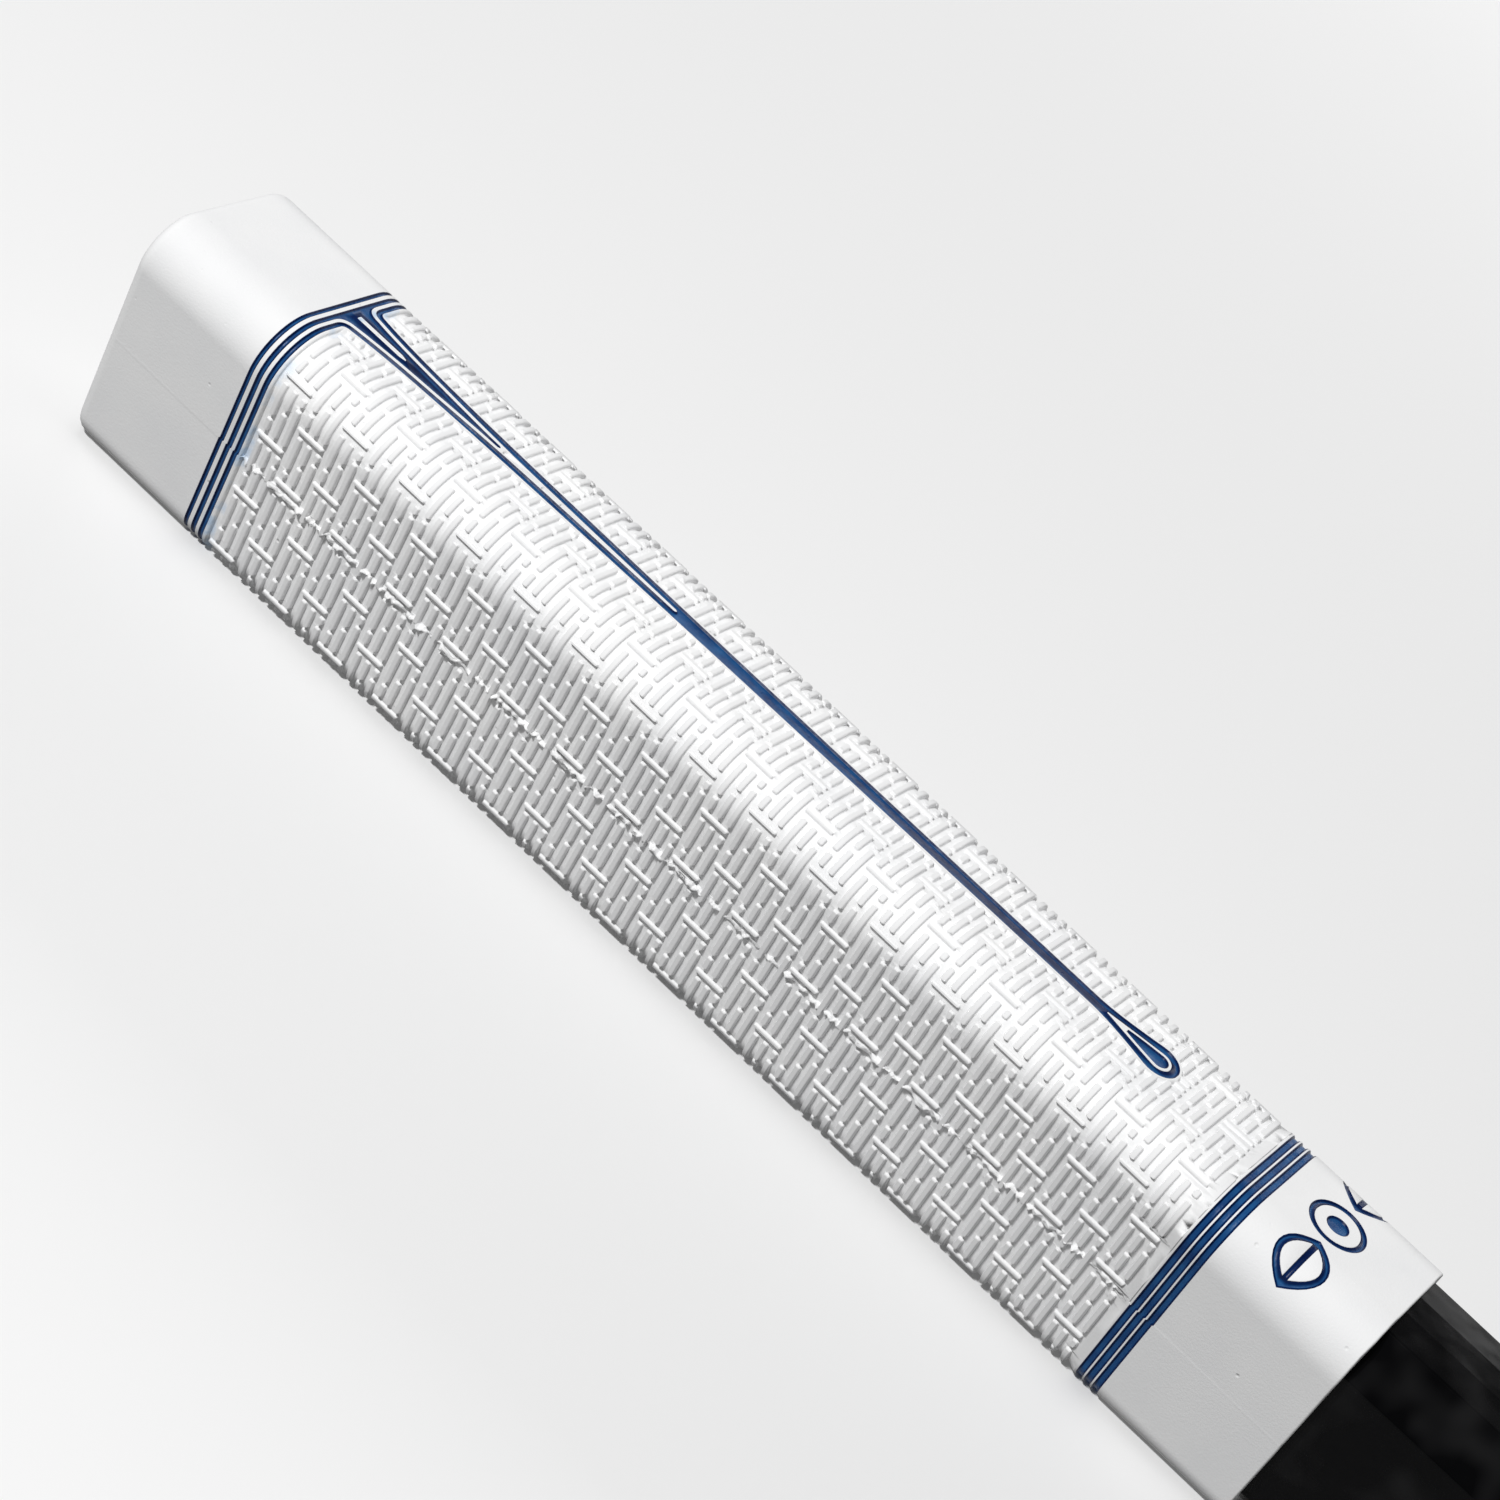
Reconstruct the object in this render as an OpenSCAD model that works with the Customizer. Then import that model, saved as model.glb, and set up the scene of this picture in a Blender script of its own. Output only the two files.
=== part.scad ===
// Oversize golf putter grip: a moulded skin on a faceted core, with paint-filled grooves.
// The grip lies along X with its butt at the low end and its flat front face up (+Z).
// The origin is the centre of the shaft bore's mouth, at the tip.
// Most lengths along the grip are measured from the butt end.

/* [Length] */
// Overall length, butt to tip
grip_len = 266.7; // [255:0.1:290]
// Length of the moulded skin from the butt
skin_len = 222.3; // [215:0.1:235]
// Thickness of the skin's closed butt end
butt_wall = 3; // [2.5:0.1:5]
// Radius of the edge round the butt end
butt_edge_r = 2; // [1:0.1:3]

/* [Section] */
// Half width at the front face at the butt, measured to the square corner
half_w_butt = 17.27; // [16.5:0.01:18.5]
// The same at the skin's tip end
half_w_tip = 15.77; // [15:0.01:16.5]
// Depth from the front face to the back face
depth = 40.6; // [39:0.1:42]
// Lean of the side faces, towards each other at the back, in degrees
side_lean = 9.5; // [6:0.1:11]
// Radius of the front corners
front_r = 7.7; // [6:0.1:8.5]
// Radius of the back corners
back_r = 4.25; // [3.8:0.05:5]
// Height of the front face above the bore's axis
front_z = 19; // [18:0.1:20]

/* [Core] */
// Depth of the core's narrow centre flat below the front face
core_flat_drop = 1; // [0.9:0.05:1.3]
// Half width of that flat
core_flat_half = 2.5; // [2:0.1:4]
// Depth of the core's shoulder edges
core_shoulder_drop = 1.27; // [1.2:0.01:1.6]
// Distance of the shoulder edges inside the square corner
core_shoulder_in = 7.75; // [7:0.05:8.5]
// Depth of the edges where the corner facets meet the sides
core_side_drop = 8; // [7:0.1:9]
// Thickness of the skin over the core's sides and back
side_skin = 1.65; // [1.4:0.05:1.8]
// Size of the facets at the back corners
back_facet = 3.8; // [3:0.1:4.5]
// Wall of the core shell
core_wall = 1.6; // [1.2:0.1:2.4]

/* [Shaft] */
// Radius of the bore for the shaft
bore_r = 7.37; // [7.2:0.01:7.7]
// Outside radius of the shaft sleeve
sleeve_r = 8.9; // [8.5:0.1:10]
// Radius of the vent hole in the butt
vent_r = 1.25; // [1:0.05:2]
// Thickness of the plate at the core's butt end
plate_t = 3; // [2:0.1:5]
// Thickness of the collar's flange
flange_t = 3; // [2:0.1:5]
// Length of the collar's spigot inside the core
spigot_len = 8; // [5:0.5:12]

/* [Paint-filled grooves] */
// Depth of the grooves below the surface
groove_depth = 0.45; // [0.35:0.05:0.5]
// Depth of the paint's surface below the skin's surface
paint_drop = 0.2; // [0.1:0.05:0.25]
// Width of the first butt stripe
butt_first_w = 0.7; // [0.5:0.05:0.8]
// Width of the other butt stripes
butt_stripe_w = 0.8; // [0.6:0.05:0.9]
// Distance from one butt stripe to the next
butt_stripe_pitch = 1.45; // [1.3:0.05:1.6]
// Start of the first butt stripe
butt_stripe_s = 23.2; // [22:0.1:24]
// Width of the tip stripes
tip_stripe_w = 1.05; // [0.8:0.05:1.1]
// Distance from one tip stripe to the next
tip_stripe_pitch = 1.4; // [1.3:0.05:1.6]
// Start of the first tip stripe
tip_stripe_s = 196.2; // [195:0.1:198]
// End of the centre rib inside the fork
fork_rib_end = 35.7; // [32:0.1:40]
// Point of the fork's inner field
fork_point = 54.4; // [50:0.1:58]
// Where the double line becomes a single one
double_end = 88.4; // [80:0.1:95]
// Centre of the drop's round end
drop_s = 177.4; // [175:0.1:180]
// Radius of the drop's round end
drop_r = 3.25; // [3:0.05:3.5]
// Centre of the emblem
emblem_s = 208.7; // [208:0.1:210]
// Outside radius of the emblem's ring
emblem_ring_r = 4.4; // [4:0.1:5]
// Width of the emblem's lines
emblem_line = 0.9; // [0.6:0.05:0.9]

/* [Hidden] */

skin_white = [0.93, 0.93, 0.93];
paint_blue = [0.06, 0.17, 0.38];
core_black = [0.05, 0.05, 0.05];
foam_grey = [0.35, 0.35, 0.36];

tan_lean = tan(side_lean);
cos_lean = cos(side_lean);
glue_gap = 0.05;        // left between glued parts
arc_steps = 9;          // straight pieces in a section's corner
curve_steps = 8;        // straight pieces in a short curve of the line work
core_end = grip_len - flange_t;
plate_end = butt_wall + plate_t;
spigot_start = core_end - spigot_len;
stripe_2_end = butt_stripe_s + butt_stripe_pitch + butt_stripe_w;
stripe_3_start = butt_stripe_s + 2 * butt_stripe_pitch;
stripe_3_end = stripe_3_start + butt_stripe_w;
fork_half = 5.2;        // half width of the gap in the third stripe, where it turns into the fork
fork_straight = 28;     // where the fork's lines have finished turning
line_end = 165.5;       // where the line begins to open into the drop's outline
line_half = 1.1;        // half width of the single line, which the fork narrows to
fork_far = 1.65;        // part of the fork's half width that fades slowly along the line
fork_far_len = 55;      // length over which that part fades
fork_near = 1.3;        // part that fades within the fork
fork_near_len = 9;      // length over which that part fades
edge_line_w = 0.95;     // width of each outer line at the fork
edge_line_gain = 0.4;   // what it gains along the inner field's point
gain_start = 42;        // where it begins to gain
gain_len = 15;          // length over which it gains
fork_rib_w = 0.7;       // width of the ribs beside the fork's inner field
fork_bend = 0.2;        // how far outside the fork's lines their turns are drawn towards
point_len = 0.3;        // length of the taper at the end of the inner field and of the double line
field_tip_half = 0.3;   // half width of the inner field near its point
centre_rib_half = 0.4;  // half width of the fork's centre rib
fork_rib_start = 26.3;  // where that rib begins
blunt = 0.1;            // half width at a pointed end of the line work
neck_s = 166;           // where the drop's outline leaves the line
neck_bend_s = 169.5;    // where the outline's sides would meet the line, were they straight
ball_s = drop_s + 0.2;  // centre of the white drop and of the filled drop inside it
white_drop_s = 168.3;   // point of the white drop
white_drop_r = 1.85;    // radius of its round end
white_bend = [171.5, 0.75];
filled_drop_s = 171.9;  // point of the filled drop
filled_drop_r = 1.35;   // radius of its round end
filled_bend = [174, 0.85];
drop_turn = 15;         // angle past the drop's widest point at which its sides meet its round end
emblem_dot_r = 1.7;     // radius of the dot in the emblem's ring
leaf_start = 5.6;       // inner point of an emblem leaf, by its distance round the surface from the middle
leaf_end = 15.4;        // outer point
leaf_half = 3.9;        // half width of a leaf
leaf_rim = 1.3;         // length of a leaf's rim at its points
leaf_rim_half = 1;      // width of its rim at the middle
vein_half = 0.42;       // half width of the vein down a leaf's middle
front_low = 12;         // height from which the line work is cut, below all of it and above the flat sides

// Half width at the front face, to the square corner, at distance s from the butt
function half_w(s) = half_w_butt + (half_w_tip - half_w_butt) * s / skin_len;

// Points of the arc that rounds the corner at p, between its neighbours a and b
function rounded(a, p, b, r) =
    let (u = (a - p) / norm(a - p), v = (b - p) / norm(b - p), half = acos(u * v) / 2,
        centre = p + (u + v) / norm(u + v) * r / sin(half),
        first = p + u * r / tan(half) - centre, last = p + v * r / tan(half) - centre,
        start = atan2(first.y, first.x), turn = atan2(last.y, last.x) - start,
        short = turn > 180 ? turn - 360 : turn < -180 ? turn + 360 : turn)
    [for (i = [0 : arc_steps]) centre + r * [cos(start + short * i / arc_steps),
        sin(start + short * i / arc_steps)]];

// Side face's distance from the middle, at a drop below the front face, moved in by inset
function side_y(w, drop, inset) = w - drop * tan_lean - inset / cos_lean;

// Skin's section as [y, z] points, moved in by inset
function skin_points(w, inset) =
    let (back = depth - inset, top_y = side_y(w, inset, inset), low_y = side_y(w, back, inset),
        c = [[top_y, front_z - inset], [-top_y, front_z - inset],
            [-low_y, front_z - back], [low_y, front_z - back]],
        radii = [front_r, front_r, back_r, back_r])
    [for (i = [0 : 3]) each rounded(c[(i + 3) % 4], c[i], c[(i + 1) % 4], radii[i] - inset)];

// Right half of the core's faceted section, from the front to the back
function core_half(w) =
    let (back_drop = depth - side_skin, facet_drop = back_drop - back_facet)
    [[core_flat_half, front_z - core_flat_drop],
        [w - core_shoulder_in, front_z - core_shoulder_drop],
        [side_y(w, core_side_drop, side_skin), front_z - core_side_drop],
        [side_y(w, facet_drop, side_skin), front_z - facet_drop],
        [side_y(w, back_drop, side_skin) - back_facet, front_z - back_drop]];

// Core's section as [y, z] points
function core_points(w) =
    let (right = core_half(w))
    concat([for (p = right) [-p.x, p.y]], [for (i = [len(right) - 1 : -1 : 0]) right[i]]);

// A straight-sided section with each side moved in by d
function moved_in(pts, d) =
    let (n = len(pts))
    [for (i = [0 : n - 1])
        let (e = pts[i] - pts[(i + n - 1) % n], f = pts[(i + 1) % n] - pts[i],
            u = [-e.y, e.x] / norm(e), v = [-f.y, f.x] / norm(f))
        pts[i] + (u + v) * d / (1 + u * v)];

// A section's points placed at distance s from the butt
function ring_at(s, pts) = [for (p = pts) [s - grip_len, p.x, p.y]];

// Points of a curve that leaves a towards the control point c and reaches b
function curve(a, c, b) =
    [for (i = [0 : curve_steps]) let (t = i / curve_steps)
        a * (1 - t) * (1 - t) + c * 2 * t * (1 - t) + b * t * t];

// Outer edge of the alignment line, from its middle, at distance s from the butt
function line_edge(s) =
    line_half + fork_far * exp((fork_straight - s) / fork_far_len)
        + fork_near * exp((fork_straight - s) / fork_near_len);

// Width of each outer line, which grows where the fork's inner field ends
function line_w(s) = edge_line_w + edge_line_gain * min(1, max(0, (s - gain_start) / gain_len));

// Puts a section drawn as [y, z] in a slab of thickness t that starts at distance s from the butt
module slab(s, t) {
    translate([s - grip_len, 0, 0]) rotate([90, 0, 90]) linear_extrude(t) children();
}

// A solid stretched over rings of points, which all have the same number of points
module loft(rings) {
    n = len(rings[0]);
    m = len(rings);
    polyhedron([for (r = rings) each r], concat(
        [[for (i = [0 : n - 1]) i], [for (i = [n - 1 : -1 : 0]) (m - 1) * n + i]],
        [for (j = [0 : m - 2], i = [0 : n - 1])
            let (here = j * n, there = here + n, next = (i + 1) % n)
            each [[here + i, there + i, there + next], [here + i, there + next, here + next]]]));
}

// A solid with the skin's section from s0 to s1, moved in by inset
module skin_solid(s0, s1, inset) {
    loft([for (s = [s0, s1]) ring_at(s, skin_points(half_w(s), inset))]);
}

// A solid with the core's section from s0 to s1, moved in by inset
module core_solid(s0, s1, inset) {
    loft([for (s = [s0, s1]) ring_at(s, moved_in(core_points(half_w(s)), inset))]);
}

// The skin's outside, with a round edge at the butt
module skin_outside() {
    loft([
        for (a = [90 : -22.5 : 0])
            ring_at(butt_edge_r * (1 - sin(a)), skin_points(half_w(butt_edge_r), butt_edge_r * (1 - cos(a)))),
        ring_at(skin_len, skin_points(half_w(skin_len), 0))]);
}

// A band round the skin from drop d0 to drop d1 below its surface
module band(s, w, d0, d1) {
    slab(s, w) difference() {
        polygon(skin_points(half_w(s), d0));
        polygon(skin_points(half_w(s), d1));
    }
}

// A flat figure on the front face, as a layer from drop d0 to drop d1
module front_layer(d0, d1) {
    translate([-grip_len, 0, front_z - d1]) linear_extrude(d1 - d0) children();
}

// A figure on the tip band, which follows the band round the front corners
module wrapped_layer(d0, d1) {
    intersection() {
        translate([-grip_len, 0, front_low]) linear_extrude(front_z) children();
        difference() {
            skin_solid(tip_stripe_s, skin_len, d0);
            skin_solid(tip_stripe_s - 1, skin_len + 1, d1);
        }
    }
}

function stripe_start(i) = butt_stripe_s + butt_stripe_pitch * i;
function stripe_w(i) = i == 0 ? butt_first_w : butt_stripe_w;
function tip_start(i) = tip_stripe_s + tip_stripe_pitch * i;

// Points of an outline that is symmetric about the middle, from those on its +Y side
function with_mirror(side) = concat(side, [for (i = [len(side) - 1 : -1 : 0]) [side[i].x, -side[i].y]]);

// Distances along the grip at which the line's edges are worked out
function line_steps(s0, s1) = [for (i = [0 : ceil((s1 - s0) / 3)]) s0 + (s1 - s0) * i / ceil((s1 - s0) / 3)];

// A drop's +Y side, from a blunt point of half width start_half at s0 to an end of radius r about s1,
// with its side drawn towards the point bend
function drop_side(s0, s1, r, start_half, bend) = concat(
    curve([s0, start_half], bend, [s1 - r * sin(drop_turn), r * cos(drop_turn)]),
    [for (a = [90 : -10 : 10]) [s1 + r * cos(a), r * sin(a)]],
    [[s1 + r, 0]]);

module white_drop() {
    polygon(with_mirror(drop_side(white_drop_s, ball_s, white_drop_r, blunt / 2, white_bend)));
}

module filled_drop() {
    polygon(with_mirror(drop_side(filled_drop_s, ball_s, filled_drop_r, field_tip_half, filled_bend)));
}

// The outline from the third stripe, along the fork and the line, and round the drop
module line_outline() {
    start = line_edge(fork_straight);
    tail = line_edge(line_end);
    polygon(with_mirror(concat(
        [[stripe_3_start, fork_half]],
        curve([stripe_3_end, fork_half], [stripe_3_end, start + fork_bend], [fork_straight, start]),
        [for (s = line_steps(fork_straight, line_end)) [s, line_edge(s)]],
        drop_side(neck_s, drop_s, drop_r, tail, [neck_bend_s, tail]))));
}

// The space between the fork's two outer lines, as far as the end of the double line
module fork_space() {
    start = line_edge(fork_straight) - line_w(fork_straight);
    polygon(with_mirror(concat(
        [[stripe_3_start - 1, fork_half + 1], [stripe_3_start, fork_half + 1]],
        curve([stripe_3_start, fork_half], [stripe_3_start, start + fork_bend], [fork_straight, start]),
        [for (s = line_steps(fork_straight, double_end)) [s, line_edge(s) - line_w(s)]],
        [[double_end + point_len, blunt]])));
}

// Half width of the fork's inner field
function field_half(s) = max(field_tip_half, line_edge(s) - line_w(s) - fork_rib_w);

// The fork's inner field, which opens from the second stripe and has a rib down its middle
module fork_field() {
    start = field_half(fork_straight);
    difference() {
        polygon(with_mirror(concat(
            curve([stripe_2_end, fork_half - field_tip_half], [stripe_2_end, start + fork_bend],
                [fork_straight, start]),
            [for (s = [fork_straight + 2 : 2 : fork_point - 1]) [s, field_half(s)]],
            [[fork_point - point_len, field_tip_half], [fork_point, blunt]])));
        polygon(with_mirror([[fork_rib_start, centre_rib_half], [fork_rib_end - 1, centre_rib_half],
            [fork_rib_end, blunt]]));
    }
}

module alignment_figure() {
    difference() {
        line_outline();
        fork_space();
        white_drop();
    }
    fork_field();
}

module ring_figure() {
    translate([emblem_s, 0]) difference() {
        circle(emblem_ring_r, $fn = 72);
        circle(emblem_ring_r - emblem_line, $fn = 72);
    }
    translate([emblem_s, 0]) circle(emblem_dot_r, $fn = 36);
}

// How far across the grip a point of the emblem lies that is t round the surface from the middle
function across(t) =
    let (flat = half_w(emblem_s) - front_r * tan((90 + side_lean) / 2))
    t < flat ? t : flat + front_r * sin((t - flat) / front_r * 180 / PI);

// A leaf between two points round the surface, on the +Y side
module leaf(t0, t1, half) {
    mid = (t0 + t1) / 2;
    sides = concat(curve([0, t0], [2 * half, mid], [0, t1]), curve([0, t1], [-2 * half, mid], [0, t0]));
    translate([emblem_s, 0]) polygon([for (p = sides) [p.x, across(p.y)]]);
}

module leaf_figure() {
    difference() {
        leaf(leaf_start, leaf_end, leaf_half);
        difference() {
            leaf(leaf_start + leaf_rim, leaf_end - leaf_rim, leaf_half - leaf_rim_half);
            translate([emblem_s - vein_half, 0]) square([2 * vein_half, depth]);
        }
    }
}

module emblem_figure() {
    ring_figure();
    leaf_figure();
    mirror([0, 1]) leaf_figure();
}

module outer_skin() {
    color(skin_white) difference() {
        skin_outside();
        core_solid(butt_wall, skin_len + 1, -glue_gap);
        for (i = [0 : 2]) {
            difference() {
                band(stripe_start(i), stripe_w(i), -1, groove_depth);
                if (i == 2) fork_gap(stripe_start(i));
            }
            band(tip_start(i), tip_stripe_w, -1, groove_depth);
        }
        front_layer(-1, groove_depth) {
            alignment_figure();
            filled_drop();
        }
        wrapped_layer(-1, groove_depth) emblem_figure();
        translate([-grip_len - 1, 0, 0]) rotate([0, 90, 0]) cylinder(h = butt_wall + 2, r = vent_r, $fn = 32);
    }
}

// The stretch of the third stripe that the fork takes the place of
module fork_gap(s) {
    translate([s - grip_len - 0.5, -fork_half, front_low])
        cube([butt_stripe_w + 1, 2 * fork_half, front_z]);
}

module core_shell() {
    color(core_black) difference() {
        core_solid(butt_wall, core_end, 0);
        core_solid(butt_wall - 1, core_end + 1, core_wall);
    }
}

module foam_filler() {
    color(foam_grey) difference() {
        core_solid(plate_end, spigot_start, core_wall + glue_gap);
        along_axis(plate_end - 1, spigot_start + 1, sleeve_r + glue_gap);
    }
}

// A cylinder on the bore's axis from s0 to s1
module along_axis(s0, s1, r) {
    translate([s0 - grip_len, 0, 0]) rotate([0, 90, 0]) cylinder(h = s1 - s0, r = r, $fn = 96);
}

module shaft_sleeve() {
    color(core_black) difference() {
        along_axis(plate_end, grip_len, sleeve_r);
        along_axis(plate_end - 1, grip_len + 1, bore_r);
    }
}

module butt_plate() {
    color(core_black) difference() {
        core_solid(butt_wall + glue_gap, plate_end, core_wall + glue_gap);
        along_axis(butt_wall - 1, plate_end + 1, vent_r);
    }
}

module tip_collar() {
    color(core_black) difference() {
        union() {
            core_solid(core_end, grip_len, 0);
            core_solid(spigot_start, core_end + 1, core_wall + glue_gap);
        }
        along_axis(spigot_start - 1, grip_len + 1, sleeve_r + glue_gap);
    }
}

module butt_stripe(i) {
    color(paint_blue) difference() {
        band(stripe_start(i), stripe_w(i), paint_drop, groove_depth);
        if (i == 2) fork_gap(stripe_start(i));
    }
}

module tip_stripe(i) {
    color(paint_blue) band(tip_start(i), tip_stripe_w, paint_drop, groove_depth);
}

module alignment_line() {
    color(paint_blue) front_layer(paint_drop, groove_depth) alignment_figure();
}

module alignment_drop() {
    color(paint_blue) front_layer(paint_drop, groove_depth) filled_drop();
}

module emblem_ring() {
    color(paint_blue) wrapped_layer(paint_drop, groove_depth) ring_figure();
}

module emblem_leaf_left() {
    color(paint_blue) wrapped_layer(paint_drop, groove_depth) leaf_figure();
}

module emblem_leaf_right() {
    color(paint_blue) wrapped_layer(paint_drop, groove_depth) mirror([0, 1]) leaf_figure();
}

outer_skin();
core_shell();
foam_filler();
shaft_sleeve();
butt_plate();
tip_collar();
butt_stripe(0);  // butt_stripe_1
butt_stripe(1);  // butt_stripe_2
butt_stripe(2);  // butt_stripe_3
tip_stripe(0);  // tip_stripe_1
tip_stripe(1);  // tip_stripe_2
tip_stripe(2);  // tip_stripe_3
alignment_line();
alignment_drop();
emblem_ring();
emblem_leaf_left();
emblem_leaf_right();
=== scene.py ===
"""Looks of an oversize putter grip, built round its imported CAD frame.

The moulded skin is drawn flat, in the plane of s (distance from the butt) and t (distance round the
surface from the middle of the front face), triangulated there, and then laid on the grip's section.
Only one side is worked out, because the grip is symmetric about its middle plane.
Lengths are in millimetres until a mesh is made.
"""
import math

import bpy
import numpy as np
from mathutils import Matrix, Vector
from mathutils.geometry import delaunay_2d_cdt


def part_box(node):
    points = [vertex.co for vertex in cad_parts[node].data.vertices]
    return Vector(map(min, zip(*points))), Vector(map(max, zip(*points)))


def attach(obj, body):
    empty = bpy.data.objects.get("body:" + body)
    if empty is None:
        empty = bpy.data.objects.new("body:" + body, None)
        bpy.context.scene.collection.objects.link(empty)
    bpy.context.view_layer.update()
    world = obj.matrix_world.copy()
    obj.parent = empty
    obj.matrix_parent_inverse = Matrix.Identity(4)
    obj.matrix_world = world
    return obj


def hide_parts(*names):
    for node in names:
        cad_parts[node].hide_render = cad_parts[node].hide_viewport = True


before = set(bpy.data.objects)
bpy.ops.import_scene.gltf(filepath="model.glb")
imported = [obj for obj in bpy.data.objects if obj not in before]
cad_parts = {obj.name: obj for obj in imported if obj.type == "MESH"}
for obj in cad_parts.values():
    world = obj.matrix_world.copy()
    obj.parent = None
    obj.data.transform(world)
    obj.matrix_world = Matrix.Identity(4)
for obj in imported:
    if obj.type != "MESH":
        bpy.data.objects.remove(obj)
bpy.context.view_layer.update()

MM = 0.001


def node_range(node, axis):
    """Lowest and highest coordinate of a CAD node along an axis, in millimetres."""
    low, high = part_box(node)
    return low[axis] / MM, high[axis] / MM


# ---- Sizes taken from the frame ----------------------------------------------------------------
GRIP_LEN = -node_range("outer_skin", 0)[0]
SKIN_LEN = node_range("outer_skin", 0)[1] + GRIP_LEN
FRONT_Z = node_range("outer_skin", 2)[1]
DEPTH = FRONT_Z - node_range("outer_skin", 2)[0]


def stripe_of(node):
    """Start and end of a stripe, from the butt."""
    low, high = node_range(node, 0)
    return low + GRIP_LEN, high + GRIP_LEN


BUTT_STRIPES = [stripe_of(f"butt_stripe_{i}") for i in (1, 2, 3)]
TIP_STRIPES = [stripe_of(f"tip_stripe_{i}") for i in (1, 2, 3)]

# ---- Section, as in the CAD model --------------------------------------------------------------
HALF_W_BUTT, HALF_W_TIP = 17.27, 15.77
LEAN = math.radians(9.5)
FRONT_R, BACK_R = 7.7, 4.25
FRONT_TURN = math.pi / 2 + LEAN
BACK_TURN = math.pi - FRONT_TURN
FRONT_RUN = FRONT_R * math.tan(FRONT_TURN / 2)
BACK_RUN = BACK_R * math.tan(BACK_TURN / 2)
SIDE_LEN = DEPTH / math.cos(LEAN) - FRONT_RUN - BACK_RUN
BUTT_WALL, BUTT_EDGE_R, VENT_R = 3.0, 2.0, 1.25
TIP_EDGE_R = 0.3
CORE_WALL, GLUE_GAP = 1.6, 0.05
SIDE_SKIN, BACK_FACET = 1.65, 3.8
CORE_RIDGE = (2.5, 1.0)                 # half width of the core's flat front, and its depth below the skin's
CORE_FRONT = (7.75, 1.27)               # its front corner: how far inside half_w, and depth
CORE_SIDE_DROP = 8                      # depth at which its side begins
CORE_ROUND, CORE_INNER_ROUND = 0.55, 0.2
CORE_CHAMFER, CHAMFER_LEAN = 0.15, 0.8  # at its end, and the lean of the normals there

# ---- Grooves and their paint -------------------------------------------------------------------
GROOVE_DEPTH = 0.45
GROOVE_WALL = (-0.06, 0.06)             # edge and floor of a groove's wall, by distance inside the groove
PAINT_EDGE, PAINT_DIP, PAINT_RUN = 0.05, 0.28, 0.28   # depth at the wall, more in the middle, reached within
PAINT_RINGS = 4                         # outlines on the slope from the wall to the middle
PAINT_LAP, PAINT_UNDER = 0.04, 0.5      # into the wall, and below the skin's face
RIM = 0.55                              # smooth rim between the line work and the texture

# ---- Texture -----------------------------------------------------------------------------------
PITCH = 5.55                            # from column to column along, and from row to row round
FIRST_S, FIRST_T = 27.86, 17.16         # first corner of the bar in column zero and row zero
BAR_LEN, BAR_W = 5.1, 0.56
ROWS = (-4, 10)                         # from beyond the middle of the front to beyond the middle of the back
RIB_FROM, RIB_PITCH, RIB_W = 0.6, 1.8, 0.98   # of the three ribs below a bar, along the grip
RIB_GAP = 0.85                          # between a bar and the ends of the ribs beside it
RIB_BREAKS = (7.3, 5.0, 2.7)            # where each of the three ribs is broken, below its bar
BREAK_W = 0.75
RELIEF = 0.7                            # depth of the texture
RELIEF_WALL = (-0.07, 0.19)             # foot and top of a rib's wall, by distance inside the rib
CORNER_R = 0.3
NEAR_PART_SHIFT = -1.2                  # of the bars that would lie on the parting line
FIELD = (27.45, 195.75)                 # texture's extent along the grip
SPINE = 0.8                             # half width of the smooth band down the middle of the back
PART_T = 34.3                           # parting line of the mould
PART_SHIFT = 0.16                       # how far the back half of the mould sits towards the butt
PART_SLANT = 0.08                       # half the length round the section of the step that it makes
CREASE, CREASE_W = 0.012, 0.2           # parting line on the smooth skin
FLASH_STEP, FLASH_SLOPE, FLASH_LAP = 0.45, 2.2, 0.4   # between its points, of its sides, past the field
FLASH_WANDER, FLASH_TOP = 0.3, (-0.55, 0.42)
FLASH_SHIFTS = (-0.4, -0.2, 0, 0.2, 0.4)   # lines on both sides of the flash
PROBE = 0.012                           # step by which a slope is measured

rng = np.random.default_rng(11)


# ---- The section --------------------------------------------------------------------------------
def half_w(s):
    """Half width of the section at the height of its front face, as if its corners were sharp."""
    return HALF_W_BUTT + (HALF_W_TIP - HALF_W_BUTT) * s / SKIN_LEN


def flat_half(s):
    """Half width of the flat front face."""
    return half_w(s) - FRONT_RUN


def half_round(s):
    """Distance from the middle of the front face, round one side, to the middle of the back."""
    back_flat = half_w(s) - DEPTH * math.tan(LEAN) - BACK_RUN
    return flat_half(s) + FRONT_R * FRONT_TURN + SIDE_LEN + BACK_R * BACK_TURN + back_flat


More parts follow.
